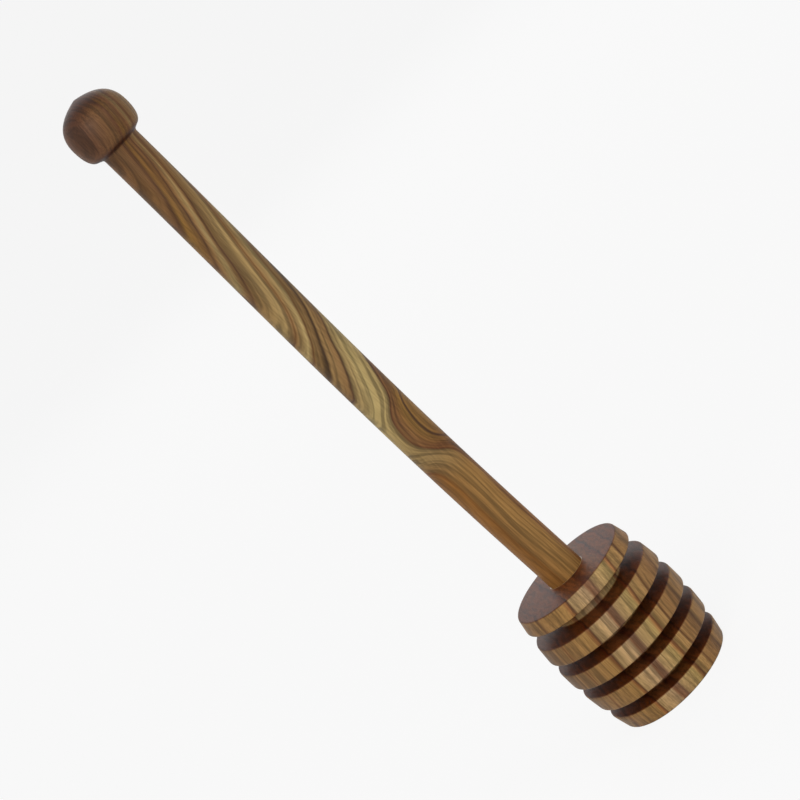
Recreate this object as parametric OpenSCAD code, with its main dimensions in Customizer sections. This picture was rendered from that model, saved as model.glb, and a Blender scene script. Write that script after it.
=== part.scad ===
// Honey dipper, turned from olive wood.
// A straight round handle, turned in one piece with the knob at its free end, is glued into the
// blind socket of a barrel-shaped head. The head is one piece too: deep grooves part it into
// discs, and honey clings in the grooves.
// Millimetres. The origin is the middle of the head's foot, and +Z runs up the handle.

/* [Overall] */
// Length from the foot of the head to the tip of the knob
overall_length = 160; // [130:1:200]

/* [Head] */
// Widest diameter of the head, halfway up
head_d = 29.6; // [26:0.2:40]
// How far the head's middle stands out past its two end edges
belly_rise = 1.9; // [0.6:0.1:3]
// Number of discs, with the foot disc and the top disc
disc_count = 5; // [4:1:7]
// Thickness of the foot disc
foot_disc_h = 3.9; // [2.4:0.1:6]
// Thickness of each disc between the foot disc and the top disc
disc_h = 4.2; // [2.4:0.1:6]
// Thickness of the top disc, round the handle
top_disc_h = 3.4; // [2.4:0.1:6]
// Width of the grooves below the top groove
groove_h = 2.5; // [1.5:0.1:4]
// Width of the top groove, the widest one
top_groove_h = 3.1; // [1.5:0.1:5]
// Diameter of the core at the bottom of the grooves
core_d = 16; // [14:0.2:18]
// Radius of the sanded edges of the discs
edge_r = 0.4; // [0.1:0.1:0.8]
// Radius in the corners at the bottom of the grooves
groove_corner_r = 0.5; // [0.2:0.1:0.7]

/* [Handle] */
// Diameter of the handle
handle_d = 8.2; // [7:0.1:9.6]

/* [Knob] */
// Widest diameter of the knob
knob_d = 13.7; // [12.5:0.1:18]
// Length of the knob, from its neck to its tip
knob_h = 11.5; // [10:0.1:16]
// Height of the knob's widest place above its neck
knob_belly_h = 4.9; // [4:0.1:6]
// Slope of the blunt tip, in degrees from level
knob_tip_slope = 11; // [5:1:30]
// Width of the slanted underside, from the handle to the rounded shoulder
knob_underside_w = 1.2; // [0.8:0.1:1.4]
// Slope of the slanted underside, in degrees from level
knob_underside_slope = 23; // [10:1:40]
// Radius of the small cove where the underside meets the handle
neck_cove_r = 0.6; // [0.2:0.1:0.9]

/* [Glued joint] */
// Depth of the blind socket in the head
socket_depth = 17; // [12:0.5:20]
// Gap that the glue fills round the handle, measured on the radius
glue_gap = 0.15; // [0.1:0.01:0.25]
// Height of the pool of glue under the end of the handle
glue_pool_h = 0.8; // [0.5:0.1:1.5]
// Bevel on the end of the handle, where it enters the socket
handle_end_bevel = 0.6; // [0.3:0.1:1]

/* [Hidden] */
$fn = 96;

// Straight steps that stand for one curve
barrel_steps = 6;
edge_steps = 4;
knob_steps = 12;

// How far each curve of the knob keeps to the direction of its end, as a share of its height,
// and at the tip as a share of the knob's radius
shoulder_pull = 0.17;
belly_low_pull = 0.72;
belly_high_pull = 0.58;
tip_pull = 0.68;

head_r = head_d / 2;
core_r = core_d / 2;
handle_r = handle_d / 2;
knob_r = knob_d / 2;

// Thickness of every disc, and width of the groove above each disc but the top one, foot first
disc_hs = [for (i = [1:disc_count]) i == 1 ? foot_disc_h : i == disc_count ? top_disc_h : disc_h];
groove_hs = [for (i = [1:disc_count - 1]) i == disc_count - 1 ? top_groove_h : groove_h];
head_h = total(disc_hs, disc_count) + total(groove_hs, disc_count - 1);

// The barrel's outline is an arc through the widest place and the two end edges
barrel_arc_r = (pow(head_h / 2, 2) + pow(belly_rise, 2)) / (2 * belly_rise);

socket_r = handle_r + glue_gap;
socket_floor_z = head_h - socket_depth;
handle_end_z = socket_floor_z + glue_pool_h;

neck_z = overall_length - knob_h;
belly_z = neck_z + knob_belly_h;
shoulder_z = neck_z + knob_underside_w * tan(knob_underside_slope);
cove_z = neck_z - neck_cove_r * (1 - sin(knob_underside_slope)) / cos(knob_underside_slope);

// Sum of the first count values of a list
function total(values, count) = count == 0 ? 0 : values[count - 1] + total(values, count - 1);

// Heights of a disc's lower and upper face, with the foot disc as number 0
function disc_low_z(i) = total(disc_hs, i) + total(groove_hs, i);
function disc_high_z(i) = disc_low_z(i) + disc_hs[i];

// Radius of the barrel's outline at a height
function barrel_r(z) = head_r - barrel_arc_r + sqrt(pow(barrel_arc_r, 2) - pow(z - head_h / 2, 2));

// Points along an arc, from one angle to another
function arc(centre, radius, from, to) = [
    for (i = [0:edge_steps])
        let (angle = from + (to - from) * i / edge_steps)
        centre + radius * [cos(angle), sin(angle)]
];

// Points along a curve that leaves a towards b and reaches d from c
function curve(a, b, c, d) = [
    for (i = [0:knob_steps])
        let (t = i / knob_steps, u = 1 - t)
        u * u * u * a + 3 * u * u * t * b + 3 * u * t * t * c + t * t * t * d
];

// Side of one disc, upwards: the barrel's curve between two sanded edges
function disc_side(i) =
    let (low = disc_low_z(i) + edge_r, high = disc_high_z(i) - edge_r)
    concat(
        arc([barrel_r(low) - edge_r, low], edge_r, -90, 0),
        [for (k = [1:barrel_steps - 1])
            let (z = low + (high - low) * k / barrel_steps)
            [barrel_r(z), z]],
        arc([barrel_r(high) - edge_r, high], edge_r, 0, 90)
    );

// Floor of the groove above one disc, upwards, with its two rounded corners
function groove_floor(i) =
    let (low = disc_high_z(i) + groove_corner_r, high = disc_low_z(i + 1) - groove_corner_r)
    concat(
        arc([core_r + groove_corner_r, low], groove_corner_r, 270, 180),
        arc([core_r + groove_corner_r, high], groove_corner_r, 180, 90)
    );

// Outline of the whole head, from its foot to its top face
head_outline = concat(
    [[0, 0]],
    [for (i = [0:disc_count - 1]) each concat(disc_side(i), i < disc_count - 1 ? groove_floor(i) : [])],
    [[0, head_h]]
);

// Outline of the knob from the handle to its tip
underside_dir = [cos(knob_underside_slope), sin(knob_underside_slope)];
tip_dir = [cos(knob_tip_slope), -sin(knob_tip_slope)] / cos(knob_tip_slope);
shoulder = [handle_r + knob_underside_w, shoulder_z];
belly = [knob_r, belly_z];
tip = [0, overall_length];
knob_outline = concat(
    arc([handle_r + neck_cove_r, cove_z], neck_cove_r, 180, 90 + knob_underside_slope),
    curve(
        shoulder,
        shoulder + shoulder_pull * (belly_z - shoulder_z) * underside_dir,
        belly - [0, belly_low_pull * (belly_z - shoulder_z)],
        belly
    ),
    curve(
        belly,
        belly + [0, belly_high_pull * (overall_length - belly_z)],
        tip + tip_pull * knob_r * tip_dir,
        tip
    )
);

// The handle and its knob, turned as one piece
module handle() {
    color("#9a7240")
    rotate_extrude()
    polygon(concat(
        [
            [0, handle_end_z],
            [handle_r - handle_end_bevel, handle_end_z],
            [handle_r, handle_end_z + handle_end_bevel]
        ],
        knob_outline
    ));
}

// The head: discs on one core, with the blind socket for the handle
module head() {
    color("#8b6636")
    difference() {
        rotate_extrude()
        polygon(head_outline);
        translate([0, 0, socket_floor_z])
        cylinder(r = socket_r, h = 2 * socket_depth);
    }
}

// The glue: a thin sleeve round the handle's end, and the pool under it
module glue() {
    color("#d8b878")
    rotate_extrude()
    polygon([
        [0, socket_floor_z],
        [socket_r, socket_floor_z],
        [socket_r, head_h],
        [handle_r, head_h],
        [handle_r, handle_end_z + handle_end_bevel],
        [handle_r - handle_end_bevel, handle_end_z],
        [0, handle_end_z]
    ]);
}

handle();
head();
glue();
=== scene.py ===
"""Honey dipper turned from olive wood: its turned pieces, their finish, the studio and the camera."""
from math import cos, degrees, pi, radians, sin, sqrt, tan

import bpy
from mathutils import Matrix, Vector


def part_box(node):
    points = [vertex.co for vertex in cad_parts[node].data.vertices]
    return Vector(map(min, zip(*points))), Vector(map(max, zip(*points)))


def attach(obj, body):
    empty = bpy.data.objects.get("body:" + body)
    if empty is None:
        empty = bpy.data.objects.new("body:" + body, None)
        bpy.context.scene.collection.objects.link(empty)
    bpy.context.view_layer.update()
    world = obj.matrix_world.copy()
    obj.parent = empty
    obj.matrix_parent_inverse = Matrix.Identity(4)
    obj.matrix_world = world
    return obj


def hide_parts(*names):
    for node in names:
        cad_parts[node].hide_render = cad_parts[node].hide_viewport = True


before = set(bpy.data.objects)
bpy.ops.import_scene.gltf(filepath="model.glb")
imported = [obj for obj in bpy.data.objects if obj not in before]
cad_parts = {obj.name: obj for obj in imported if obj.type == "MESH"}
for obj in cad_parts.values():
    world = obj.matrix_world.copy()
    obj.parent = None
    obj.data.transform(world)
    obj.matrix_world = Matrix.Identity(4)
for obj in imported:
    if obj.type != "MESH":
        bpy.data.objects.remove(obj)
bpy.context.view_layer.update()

# Sizes of the dipper are in millimetres, and this factor turns them to metres.
MM = 0.001

head_low, head_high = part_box("head")
handle_low, handle_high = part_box("handle")

# The head: discs left standing between grooves cut down to the core, foot first.
HEAD_R = head_high.x / MM
HEAD_H = head_high.z / MM
DISC_HEIGHTS = (3.9, 4.2, 4.2, 4.2, 3.4)
GROOVE_HEIGHTS = (2.5, 2.5, 2.5, 3.1)
BELLY_RISE = 1.9
CORE_R = 8.0
EDGE_R = 0.4
CORNER_R = 0.5
SOCKET_R = 4.25
SOCKET_DEPTH = 17.0

# The handle: a straight rod with a bevelled end in the socket and a knob at the top.
HANDLE_R = 4.1
END_BEVEL = 0.6
END_Z = handle_low.z / MM
TOP_Z = handle_high.z / MM
KNOB_R = handle_high.x / MM
KNOB_H = 11.5
KNOB_BELLY_H = 4.9
UNDERSIDE_W = 1.2
UNDERSIDE_SLOPE = radians(23)
TIP_SLOPE = radians(11)
COVE_R = 0.6
NECK_Z = TOP_Z - KNOB_H
BELLY_Z = NECK_Z + KNOB_BELLY_H

# How far each curve of the knob keeps to the direction of its end: the first three as a share
# of the curve's height, and at the tip as a share of the knob's radius.
SHOULDER_PULL = 0.17
BELLY_LOW_PULL = 0.72
BELLY_HIGH_PULL = 0.58
TIP_PULL = 0.68

# The rod bends sideways by this much at its most, which lies nearer to the head than the middle.
BOW = 0.85
BOW_SKEW = 1.35

# Steps of the meshes: round the axis, round an edge, up a disc, along a knob's curve and up the rod.
TURN_STEPS = 128
EDGE_STEPS = 4
DISC_STEPS = 6
KNOB_STEPS = 16
ROD_STEP = 3.0
MERGE_DISTANCE = 0.002
SMOOTH_ANGLE = radians(35)

# The barrel's outline is an arc through the widest place and the two end edges.
BARREL_ARC_R = ((HEAD_H / 2) ** 2 + BELLY_RISE ** 2) / (2 * BELLY_RISE)


def barrel_r(z):
    """Radius of the barrel's outline at a height."""
    return HEAD_R - BARREL_ARC_R + sqrt(BARREL_ARC_R ** 2 - (z - HEAD_H / 2) ** 2)


def arc(centre_r, centre_z, radius, start, end):
    """Points of a rounded edge, from one angle in degrees to another."""
    angles = [radians(start + (end - start) * i / EDGE_STEPS) for i in range(EDGE_STEPS + 1)]
    return [(centre_r + radius * cos(a), centre_z + radius * sin(a)) for a in angles]


def curve(a, b, c, d):
    """Points along a curve that leaves a towards b and reaches d from c."""
    points = []
    for i in range(KNOB_STEPS + 1):
        t = i / KNOB_STEPS
        weights = ((1 - t) ** 3, 3 * (1 - t) ** 2 * t, 3 * (1 - t) * t ** 2, t ** 3)
        points.append(tuple(sum(w * p[k] for w, p in zip(weights, (a, b, c, d))) for k in (0, 1)))
    return points


def disc_side(low, high):
    """Side of one disc, upwards: the barrel's curve between two sanded edges."""
    side_low, side_high = low + EDGE_R, high - EDGE_R
    rise = side_high - side_low
    heights = [side_low + rise * k / DISC_STEPS for k in range(1, DISC_STEPS)]
    points = arc(barrel_r(side_low) - EDGE_R, side_low, EDGE_R, -90, 0)
    points += [(barrel_r(z), z) for z in heights]
    return points + arc(barrel_r(side_high) - EDGE_R, side_high, EDGE_R, 0, 90)


def groove_floor(low, high):
    """Floor of one groove, upwards, with its two rounded corners."""
    centre_r = CORE_R + CORNER_R
    points = arc(centre_r, low + CORNER_R, CORNER_R, 270, 180)
    return points + arc(centre_r, high - CORNER_R, CORNER_R, 180, 90)


def head_outline():
    """Outline of the head from the centre of its foot, up its side and down into the socket."""
    points = [(0, 0)]
    low = 0
    for disc, height in enumerate(DISC_HEIGHTS):
        high = low + height
        points += disc_side(low, high)
        if disc < len(GROOVE_HEIGHTS):
            low = high + GROOVE_HEIGHTS[disc]
            points += groove_floor(high, low)
    socket_floor = HEAD_H - SOCKET_DEPTH
    return points + [(SOCKET_R, HEAD_H), (SOCKET_R, socket_floor), (0, socket_floor)]


def knob_outline():
    """Outline of the knob from the rod, up its slanted underside and over its belly to the tip."""
    slope = UNDERSIDE_SLOPE
    cove_z = NECK_Z - COVE_R * (1 - sin(slope)) / cos(slope)
    shoulder = (HANDLE_R + UNDERSIDE_W, NECK_Z + UNDERSIDE_W * tan(slope))
    belly = (KNOB_R, BELLY_Z)
    tip = (0, TOP_Z)
    rise = BELLY_Z - shoulder[1]
    fall = TOP_Z - BELLY_Z
    leave = SHOULDER_PULL * rise
    reach = TIP_PULL * KNOB_R
    cove = arc(HANDLE_R + COVE_R, cove_z, COVE_R, 180, 90 + degrees(slope))
    lower = curve(shoulder, (shoulder[0] + leave * cos(slope), shoulder[1] + leave * sin(slope)),
                  (KNOB_R, BELLY_Z - BELLY_LOW_PULL * rise), belly)
    upper = curve(belly, (KNOB_R, BELLY_Z + BELLY_HIGH_PULL * fall),
                  (reach, TOP_Z - reach * tan(TIP_SLOPE)), tip)
    return cove + lower + upper[1:]


def handle_outline():
    """Outline of the handle from its end in the socket to the tip of its knob."""
    points = [(0, END_Z), (HANDLE_R - END_BEVEL, END_Z), (HANDLE_R, END_Z + END_BEVEL)]
    knob = knob_outline()
    cove_z = knob[0][1]
    z = END_Z + END_BEVEL + ROD_STEP
    while z < cove_z - ROD_STEP / 2:
        points.append((HANDLE_R, z))
        z += ROD_STEP
    return points + knob


def turned(name, outline):
    """A closed piece as it comes off the lathe: its outline drawn, then spun round the axis."""
    bpy.ops.object.select_all(action="DESELECT")
    bpy.ops.mesh.primitive_plane_add(size=MM)
    piece = bpy.context.active_object
    piece.name = name
    piece.data.name = name
    bpy.ops.object.mode_set(mode="EDIT")
    bpy.ops.mesh.select_all(action="SELECT")
    bpy.ops.mesh.merge(type="CENTER")
    bpy.ops.transform.translate(value=(outline[0][0] * MM, 0, outline[0][1] * MM))
    for before, after in zip(outline, outline[1:]):
        step = ((after[0] - before[0]) * MM, 0, (after[1] - before[1]) * MM)
        bpy.ops.mesh.extrude_region_move(TRANSFORM_OT_translate={"value": step})
    bpy.ops.mesh.select_all(action="SELECT")
    bpy.ops.mesh.spin(steps=TURN_STEPS, angle=2 * pi, center=(0, 0, 0), axis=(0, 0, 1))
    bpy.ops.mesh.select_all(action="SELECT")
    bpy.ops.mesh.remove_doubles(threshold=MERGE_DISTANCE * MM)
    bpy.ops.mesh.normals_make_consistent(inside=False)
    bpy.ops.object.mode_set(mode="OBJECT")
    bpy.ops.object.shade_smooth_by_angle(angle=SMOOTH_ANGLE)
    return piece


def bow_rod(piece):
    """Bends the rod a little to one side, and leaves the head's face and the knob in place."""
    for point in piece.data.vertices:
        share = (NECK_Z - point.co.z / MM) / (NECK_Z - HEAD_H)
        if 0 < share < 1:
            point.co.x -= BOW * MM * sin(pi * share ** BOW_SKEW)


def linear(colour, alpha=1.0):
    """An sRGB hex colour as the linear values that a shader takes."""
    parts = [int(colour[i:i + 2], 16) / 255 for i in (1, 3, 5)]
    return [p / 12.92 if p <= 0.04045 else ((p + 0.055) / 1.055) ** 2.4 for p in parts] + [alpha]


def new_material(name):
    """A material with an empty node tree."""
    material = bpy.data.materials.new(name)
    material.use_nodes = True
    material.node_tree.nodes.clear()
    return material, material.node_tree


def add(tree, kind, inputs=None, **settings):
    """Adds one node, with its settings and with its inputs set or linked."""
    made = tree.nodes.new(kind)
    for setting, value in settings.items():
        setattr(made, setting, value)
    for socket, value in (inputs or {}).items():
        if isinstance(value, bpy.types.NodeSocket):
            tree.links.new(value, made.inputs[socket])
        else:
            made.inputs[socket].default_value = value
    return made


def set_ramp(ramp, stops):
    """Fills a colour ramp with (place, colour, alpha) stops."""
    elements = ramp.color_ramp.elements
    while len(elements) > 1:
        elements.remove(elements[-1])
    for i, (place, colour, alpha) in enumerate(stops):
        stop = elements[0] if i == 0 else elements.new(place)
        stop.position = place
        stop.color = linear(colour, alpha)


def set_curve(curve_node, points):
    """Fills a float curve with points given from 0 to 1."""
    line = curve_node.mapping.curves[0]
    line.points[0].location = points[0]
    line.points[1].location = points[-1]
    for point in points[1:-1]:
        line.points.new(*point)
    curve_node.mapping.update()


# A mix node's sockets for colours, which share their names with its sockets for numbers.
MIX_A, MIX_B, MIX_RESULT = 6, 7, 2

# Sideways drift of the wood's layers that the drift curve can hold, in millimetres.
DRIFT_SPAN = 40.0

# Each noise of the wood: spots a millimetre across and along the grain, detail, and own place.
WANDER_NOISE = (0.22, 0.05, 2.0, (3, 8, 1))
RING_NOISE = (1.5, 0.03, 3.0, (11, 2, 5))
FIBRE_NOISE = (5.0, 0.22, 4.0, (7, 1, 9))

# Each reading of a noise: the noise from and to, and what it becomes there.
RING_TONES = (0.38, 0.58, 0.62, 1.22)
FIBRE_TONES = (0.35, 0.65, 0.80, 1.16)
SATIN_GLOSS = (0.3, 0.7, 0.56, 0.44)
END_GRAIN_SLOPES = (0.45, 0.95, 0.0, 1.0)

# How far layers stray from their course, and how much a ring changes with depth beside width.
WANDER = 1.5
RING_DEPTH_SHARE = 0.2

END_GRAIN_STAIN = "#9A6A4C"
GRAIN_RELIEF = 0.06
GRAIN_RELIEF_STRENGTH = 0.25
OILED_WOOD_IOR = 1.47
OILED_WOOD_SHINE = 0.2


def reading(tree, value, limits):
    """A value carried from one range of numbers to another."""
    sockets = dict(enumerate((value, *limits)))
    return add(tree, "ShaderNodeMapRange", sockets).outputs[0]


def maths(tree, operation, *values):
    """The result of one sum on values or sockets."""
    return add(tree, "ShaderNodeMath", dict(enumerate(values)), operation=operation).outputs[0]


def streaks(tree, source, noise):
    """Noise drawn out along the grain."""
    across, along, detail, place = noise
    moved = {0: source, 1: (across, across, along), 2: place}
    scaled = add(tree, "ShaderNodeVectorMath", moved, operation="MULTIPLY_ADD").outputs[0]
    sockets = {"Vector": scaled, "Scale": 1.0, "Detail": detail}
    return add(tree, "ShaderNodeTexNoise", sockets).outputs["Fac"]


def wood_layer(tree, point, xyz, height, drift, tilt, fan):
    """Which layer of the blank a point lies in, as its sideways place at the foot."""
    course = add(tree, "ShaderNodeFloatCurve", {"Value": height})
    set_curve(course, [(z / TOP_Z, 0.5 + shift / DRIFT_SPAN) for z, shift in drift])
    centred = maths(tree, "SUBTRACT", course.outputs[0], 0.5)
    shift = maths(tree, "MULTIPLY", centred, DRIFT_SPAN)
    spread = maths(tree, "MULTIPLY_ADD", xyz[0], fan, 1.0)
    moved = maths(tree, "SUBTRACT", xyz[0], maths(tree, "MULTIPLY", shift, spread))
    slanted = maths(tree, "MULTIPLY_ADD", xyz[1], tilt, moved)
    stray = maths(tree, "SUBTRACT", streaks(tree, point, WANDER_NOISE), 0.5)
    return maths(tree, "MULTIPLY_ADD", stray, WANDER, slanted)


def layer_colour(tree, layer, height, bands, tones):
    """The colour of a layer, with the tone that the wood takes on along the piece."""
    low, high = bands[0][0], bands[-1][0]
    share = maths(tree, "DIVIDE", maths(tree, "SUBTRACT", layer, low), high - low)
    figure = add(tree, "ShaderNodeValToRGB", {0: share})
    set_ramp(figure, [((u - low) / (high - low), colour, 1.0) for u, colour in bands])
    tone = add(tree, "ShaderNodeValToRGB", {0: height})
    set_ramp(tone, [(z / TOP_Z, colour, part) for z, colour, part in tones])
    sockets = {0: tone.outputs["Alpha"], MIX_A: figure.outputs[0], MIX_B: tone.outputs["Color"]}
    return add(tree, "ShaderNodeMix", sockets, data_type="RGBA").outputs[MIX_RESULT]


def darker_end_grain(tree, side, normal):
    """The colour of the side, stained where the wood is cut across and its pores drink the oil."""
    facing = add(tree, "ShaderNodeSeparateXYZ", {0: normal}).outputs[2]
    share = reading(tree, maths(tree, "ABSOLUTE", facing), END_GRAIN_SLOPES)
    sockets = {0: 1.0, MIX_A: side, MIX_B: linear(END_GRAIN_STAIN)}
    stained = add(tree, "ShaderNodeMix", sockets, data_type="RGBA",
                  blend_type="MULTIPLY").outputs[MIX_RESULT]
    sockets = {0: share, MIX_A: side, MIX_B: stained}
    return add(tree, "ShaderNodeMix", sockets, data_type="RGBA").outputs[MIX_RESULT]


def olive_wood(name, drift, tilt, fan, bands, tones):
    """Olive wood, turned, sanded and oiled.

    Its dark and pale layers run along the piece and wander sideways, so they show as long lines
    on the side, and the cut ends are darker and redder. drift holds (height, sideways) of the
    layers, tilt their slant with depth, fan how they spread, bands (place, colour) of each layer
    and tones (height, colour, share) of the tone along the piece.
    """
    material, tree = new_material(name)
    place = add(tree, "ShaderNodeTexCoord").outputs
    sockets = {0: place["Object"], "Scale": 1 / MM}
    point = add(tree, "ShaderNodeVectorMath", sockets, operation="SCALE").outputs[0]
    xyz = add(tree, "ShaderNodeSeparateXYZ", {0: point}).outputs
    height = maths(tree, "DIVIDE", xyz[2], TOP_Z)
    layer = wood_layer(tree, point, xyz, height, drift, tilt, fan)

    # Year rings are 0.5 to 1 mm apart and follow the layers. Fibres are finer than the picture
    # can show, so they are drawn 0.2 mm wide.
    depth = maths(tree, "MULTIPLY", xyz[1], RING_DEPTH_SHARE)
    ring_place = add(tree, "ShaderNodeCombineXYZ", {0: layer, 1: depth, 2: xyz[2]}).outputs[0]
    fibres = streaks(tree, point, FIBRE_NOISE)
    grain = maths(tree, "MULTIPLY", reading(tree, streaks(tree, ring_place, RING_NOISE), RING_TONES),
                  reading(tree, fibres, FIBRE_TONES))
    sockets = {0: layer_colour(tree, layer, height, bands, tones), "Scale": grain}
    side = add(tree, "ShaderNodeVectorMath", sockets, operation="SCALE").outputs[0]

    relief = add(tree, "ShaderNodeBump", {"Strength": GRAIN_RELIEF_STRENGTH,
                                          "Distance": GRAIN_RELIEF * MM, "Height": grain})
    shader = add(tree, "ShaderNodeBsdfPrincipled", {
        "Base Color": darker_end_grain(tree, side, place["Normal"]),
        "Roughness": reading(tree, fibres, SATIN_GLOSS),
        "IOR": OILED_WOOD_IOR,
        "Specular IOR Level": OILED_WOOD_SHINE,
        "Normal": relief.outputs[0],
    })
    add(tree, "ShaderNodeOutputMaterial", {0: shader.outputs[0]})
    return material


# The barrel's blank: pale blocks between the thin near-black lines that olive wood is known for.
# A layer's place is in millimetres towards +X at the foot.
HEAD_BANDS = [
    (-15.0, "#7A5A38"), (-12.2, "#86663E"), (-11.9, "#5A3A22"), (-11.5, "#8C6A40"),
    (-7.4, "#94713F"), (-6.9, "#8A5A30"), (-6.5, "#3E2216"), (-6.2, "#A88A5C"),
    (-2.6, "#AC8E68"), (-2.2, "#6E4A34"), (-1.0, "#7A5A44"), (-0.6, "#A88A5E"),
    (2.6, "#A38B55"), (3.3, "#94643A"), (3.7, "#3E2216"), (4.1, "#9A7A4A"),
    (5.9, "#A07C4C"), (6.3, "#4A2C1A"), (6.7, "#8C6A40"), (9.8, "#84603A"),
    (10.1, "#5F4128"), (10.5, "#8C6A40"), (15.0, "#7D5F38"),
]
HEAD_DRIFT = [(0, 0), (9, 0.1), (15, 0.5), (22, 1.4), (30.5, 2.3), (160, 2.3)]
HEAD_TILT = 0.06
HEAD_FAN = 0.05
HEAD_TONES = [(0, "#A06A30", 0.12)]

# The handle's blank: layers that cross the rod slowly and turn back at the swirl round a knot.
# A layer's place is in millimetres towards +X, less the drift and the slant.
HANDLE_BANDS = [
    (-22.0, "#5A4030"), (-17.5, "#80603A"), (-16.5, "#4A3020"), (-16.0, "#84622C"),
    (-15.0, "#7A5830"), (-14.6, "#4E3420"), (-14.2, "#80603A"), (-13.5, "#A8905E"),
    (-13.1, "#80603A"), (-12.7, "#4E3420"), (-12.3, "#86683E"), (-10.1, "#A08656"),
    (-9.3, "#80603A"), (-9.1, "#5B3A1E"), (-8.8, "#8A6A40"), (-7.4, "#A8905E"),
    (-6.7, "#5B3A1E"), (-6.4, "#84663C"), (-4.8, "#46301C"), (-4.4, "#8A6C42"),
    (-2.5, "#80603A"), (-2.2, "#4A3020"), (-1.8, "#9A8052"), (0.5, "#A8925F"),
    (3.4, "#A48C5A"), (4.0, "#4E2E1A"), (4.5, "#7A5430"), (5.0, "#6E4A2A"),
    (7.2, "#8B6630"), (7.7, "#4A3020"), (8.2, "#85602F"), (12.0, "#8B6630"),
]
HANDLE_DRIFT = [
    (0, -1), (30, -1), (46, -2), (62, -2), (72, -8), (82, -4), (94, 1), (106, 6.5),
    (120, 9.5), (140, 14), (160, 17),
]
HANDLE_TILT = 0.43
HANDLE_FAN = 0.0
HANDLE_TONES = [
    (0, "#86561F", 0.75), (60, "#86561F", 0.7), (67, "#5E3418", 0.5), (76, "#8A6A3C", 0.0),
    (126, "#6E4A24", 0.2), (140, "#63401F", 0.6), (160, "#54301C", 0.6),
]

# Clouds in the glue, as spots a millimetre.
GLUE_CLOUDS = 0.8
GLUE_COLOURS = [(0.3, "#6E5638", 1.0), (0.7, "#B49C72", 1.0)]


def dried_glue():
    """Wood glue, squeezed out and dried: a cloudy pale amber film with a soft gloss."""
    material, tree = new_material("dried wood glue")
    place = add(tree, "ShaderNodeTexCoord").outputs["Object"]
    sockets = {"Vector": place, "Scale": GLUE_CLOUDS / MM, "Detail": 3.0}
    clouds = add(tree, "ShaderNodeTexNoise", sockets)
    colour = add(tree, "ShaderNodeValToRGB", {0: clouds.outputs["Fac"]})
    set_ramp(colour, GLUE_COLOURS)
    sockets = {"Base Color": colour.outputs[0], "Roughness": 0.35, "IOR": 1.47}
    shader = add(tree, "ShaderNodeBsdfPrincipled", sockets)
    add(tree, "ShaderNodeOutputMaterial", {0: shader.outputs[0]})
    return material


def place_piece(piece, node, material):
    """Gives a turned piece its finish and its body, and hides the solid that it stands for."""
    piece.data.materials.append(material)
    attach(piece, "root")
    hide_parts(node)


def make_pieces():
    """The two turned pieces of wood, and the glue that shows as a thin ring between them."""
    head_wood = olive_wood("olive wood head", HEAD_DRIFT, HEAD_TILT, HEAD_FAN,
                           HEAD_BANDS, HEAD_TONES)
    handle_wood = olive_wood("olive wood handle", HANDLE_DRIFT, HANDLE_TILT, HANDLE_FAN,
                             HANDLE_BANDS, HANDLE_TONES)
    place_piece(turned("turned_head", head_outline()), "head", head_wood)
    handle = turned("turned_handle", handle_outline())
    bow_rod(handle)
    place_piece(handle, "handle", handle_wood)
    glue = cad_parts["glue"]
    glue.data.materials.clear()
    glue.data.materials.append(dried_glue())


# The studio is in metres, and its lamps in watts: name, place, width and power.
FLOOR_SIZE = 80.0
WHITE = "#FFFFFF"
PAPER = "#E8E8E8"
SHADOW_KEPT = 0.12
WORLD_LIGHT = 0.34
LAMPS = [
    ("key lamp", (-0.30, -0.75, 0.45), 0.55, 3.7),
    ("fill lamp", (0.60, -0.45, 0.30), 0.50, 1.3),
    ("back lamp", (0.10, 0.70, 0.50), 0.60, 1.2),
]
LAMP_AIM = Vector((0, 0, 2 * HEAD_H * MM))


def background_rays(tree):
    """1 for the rays that see the background: straight, mirrored or through glass."""
    rays = add(tree, "ShaderNodeLightPath").outputs
    seen = maths(tree, "MAXIMUM", rays["Is Camera Ray"], rays["Is Glossy Ray"])
    return maths(tree, "MAXIMUM", seen, rays["Is Transmission Ray"])


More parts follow.
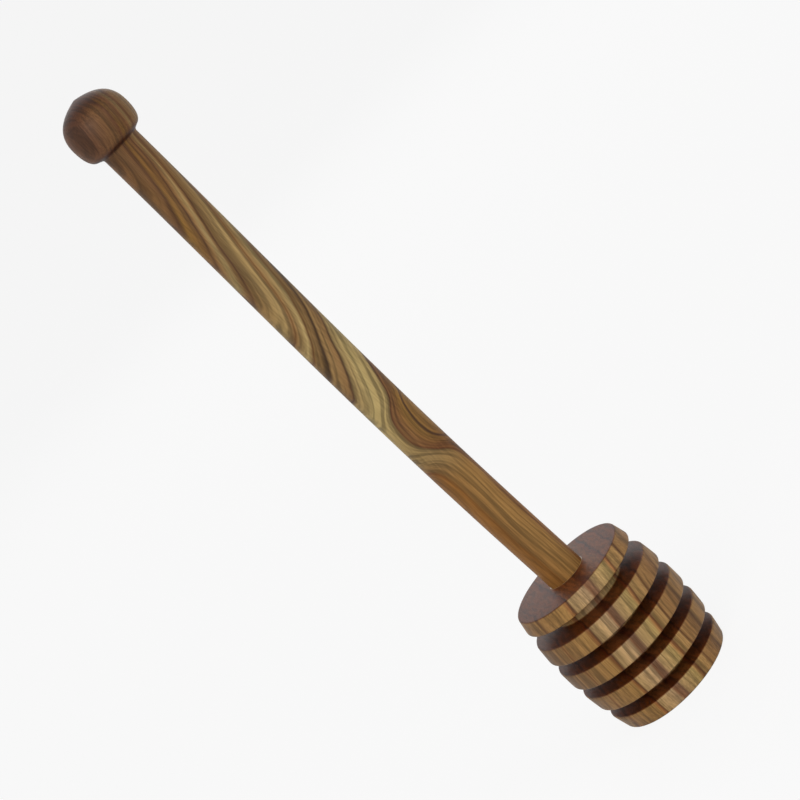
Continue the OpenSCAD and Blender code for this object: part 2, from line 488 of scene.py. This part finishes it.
def make_floor():
    """A floor that looks white and keeps a faint shadow of the dipper."""
    bpy.ops.object.select_all(action="DESELECT")
    bpy.ops.mesh.primitive_plane_add(size=FLOOR_SIZE)
    floor = bpy.context.active_object
    floor.name = "floor"
    material, tree = new_material("white paper floor")
    paper = add(tree, "ShaderNodeBsdfDiffuse", {"Color": linear(PAPER)})
    white = add(tree, "ShaderNodeEmission", {"Color": linear(WHITE), "Strength": 1.0})
    share = maths(tree, "MULTIPLY", background_rays(tree), 1 - SHADOW_KEPT)
    mixed = add(tree, "ShaderNodeMixShader", {0: share, 1: paper.outputs[0], 2: white.outputs[0]})
    add(tree, "ShaderNodeOutputMaterial", {0: mixed.outputs[0]})
    floor.data.materials.append(material)


def make_world():
    """A white world to the eye, which lights the dipper evenly and more weakly than it looks."""
    world = bpy.data.worlds.new("white studio")
    world.use_nodes = True
    bpy.context.scene.world = world
    tree = world.node_tree
    tree.nodes.clear()
    strength = reading(tree, background_rays(tree), (0.0, 1.0, WORLD_LIGHT, 1.0))
    sky = add(tree, "ShaderNodeBackground", {"Color": linear(WHITE), "Strength": strength})
    add(tree, "ShaderNodeOutputWorld", {0: sky.outputs[0]})


def make_lamps():
    """Three soft square lamps that face the dipper."""
    for name, place, width, power in LAMPS:
        lamp = bpy.data.lights.new(name, "AREA")
        lamp.size = width
        lamp.energy = power
        holder = bpy.data.objects.new(name, lamp)
        bpy.context.collection.objects.link(holder)
        holder.location = place
        holder.rotation_euler = (LAMP_AIM - Vector(place)).to_track_quat("-Z", "Y").to_euler()


# The camera looks along +Y and 12 degrees down, turned so that the dipper leans to the left.
# Its place, lens and sensor are in millimetres, and the other two are directions.
CAMERA_PLACE = (2.28, -497.33, 185.32)
CAMERA_AHEAD = (-0.000825, 0.977301, -0.21183)
CAMERA_RIGHT = (0.69294, -0.152168, -0.70475)
LENS = 121.5
SENSOR = 36.0


def make_camera():
    """The camera at the photograph's viewing angle."""
    data = bpy.data.cameras.new("camera")
    data.lens = LENS
    data.sensor_width = SENSOR
    camera = bpy.data.objects.new("camera", data)
    bpy.context.collection.objects.link(camera)
    back = -Vector(CAMERA_AHEAD).normalized()
    right = Vector(CAMERA_RIGHT).normalized()
    turn = Matrix((right, back.cross(right), back)).transposed()
    camera.matrix_world = Matrix.Translation(Vector(CAMERA_PLACE) * MM) @ turn.to_4x4()
    bpy.context.scene.camera = camera


make_camera()
make_pieces()
make_floor()
make_world()
make_lamps()
bpy.context.scene.view_settings.view_transform = "Standard"
